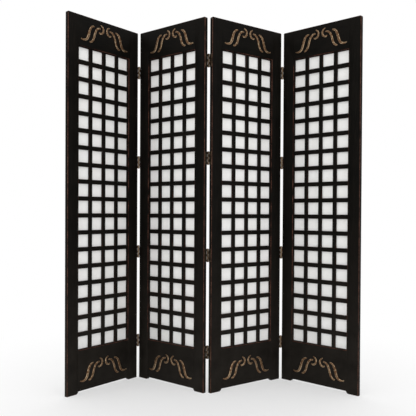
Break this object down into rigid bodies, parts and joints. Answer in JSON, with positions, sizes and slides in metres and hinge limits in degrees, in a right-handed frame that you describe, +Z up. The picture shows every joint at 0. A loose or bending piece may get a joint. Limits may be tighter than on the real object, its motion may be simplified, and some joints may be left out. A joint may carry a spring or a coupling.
{
  "type": "folding screen",
  "caption": "Free-standing folding room screen: dark wood frames with a square lattice backed by paper, gilt scrolls on the rails, and brass butt hinges between the panels.",
  "frame": {"origin": "middle of the footprint's bounding box, on the floor", "axes": "+X to the right and +Z up as the picture shows the screen, -Y towards the viewer"},
  "size_m": [1.4194, 0.3582, 1.83],
  "materials": {
    "wood": "satin lacquer, near black, arrises worn red-brown",
    "paper": "matt white mulberry paper",
    "brass": "antique, darkened",
    "gilt": "worn gilding on carved wood"
  },
  "bodies": {
    "panel_1": {"panel1_left_stile": "wood", "panel1_right_stile": "wood", "panel1_top_rail": "wood", "panel1_bottom_rail": "wood", "panel1_lattice": "wood", "panel1_paper": "paper", "joint12_hinge1_leaf1": "brass", "joint12_hinge1_pin": "brass", "joint12_hinge2_leaf1": "brass", "joint12_hinge2_pin": "brass", "joint12_hinge3_leaf1": "brass", "joint12_hinge3_pin": "brass", "joint12_hinge4_leaf1": "brass", "joint12_hinge4_pin": "brass"},
    "panel_2": {"panel2_left_stile": "wood", "panel2_right_stile": "wood", "panel2_top_rail": "wood", "panel2_bottom_rail": "wood", "panel2_lattice": "wood", "panel2_paper": "paper", "joint12_hinge1_leaf2": "brass", "joint12_hinge2_leaf2": "brass", "joint12_hinge3_leaf2": "brass", "joint12_hinge4_leaf2": "brass", "joint23_hinge1_leaf2": "brass", "joint23_hinge1_pin": "brass", "joint23_hinge2_leaf2": "brass", "joint23_hinge2_pin": "brass", "joint23_hinge3_leaf2": "brass", "joint23_hinge3_pin": "brass", "joint23_hinge4_leaf2": "brass", "joint23_hinge4_pin": "brass"},
    "panel_3": {"panel3_left_stile": "wood", "panel3_right_stile": "wood", "panel3_top_rail": "wood", "panel3_bottom_rail": "wood", "panel3_lattice": "wood", "panel3_paper": "paper", "joint23_hinge1_leaf3": "brass", "joint23_hinge2_leaf3": "brass", "joint23_hinge3_leaf3": "brass", "joint23_hinge4_leaf3": "brass", "joint34_hinge1_leaf3": "brass", "joint34_hinge1_pin": "brass", "joint34_hinge2_leaf3": "brass", "joint34_hinge2_pin": "brass", "joint34_hinge3_leaf3": "brass", "joint34_hinge3_pin": "brass", "joint34_hinge4_leaf3": "brass", "joint34_hinge4_pin": "brass"},
    "panel_4": {"panel4_left_stile": "wood", "panel4_right_stile": "wood", "panel4_top_rail": "wood", "panel4_bottom_rail": "wood", "panel4_lattice": "wood", "panel4_paper": "paper", "joint34_hinge1_leaf4": "brass", "joint34_hinge2_leaf4": "brass", "joint34_hinge3_leaf4": "brass", "joint34_hinge4_leaf4": "brass"}
  },
  "joints": [
    {"name": "fold_1_2", "type": "hinge", "parent": "panel_2", "child": "panel_1", "pos_m": [-0.40322, 0.16445, 0.915], "axis": [0, 0, 1], "range_deg": [-88.8, 91.2]},
    {"name": "fold_2_3", "type": "hinge", "parent": "panel_2", "child": "panel_3", "pos_m": [-0.0314, -0.10012, 0.915], "axis": [0, 0, 1], "range_deg": [-73.7, 106.3]},
    {"name": "fold_3_4", "type": "hinge", "parent": "panel_3", "child": "panel_4", "pos_m": [0.35672, 0.1399, 0.915], "axis": [0, 0, -1], "range_deg": [-76.4, 103.6]}
  ]
}
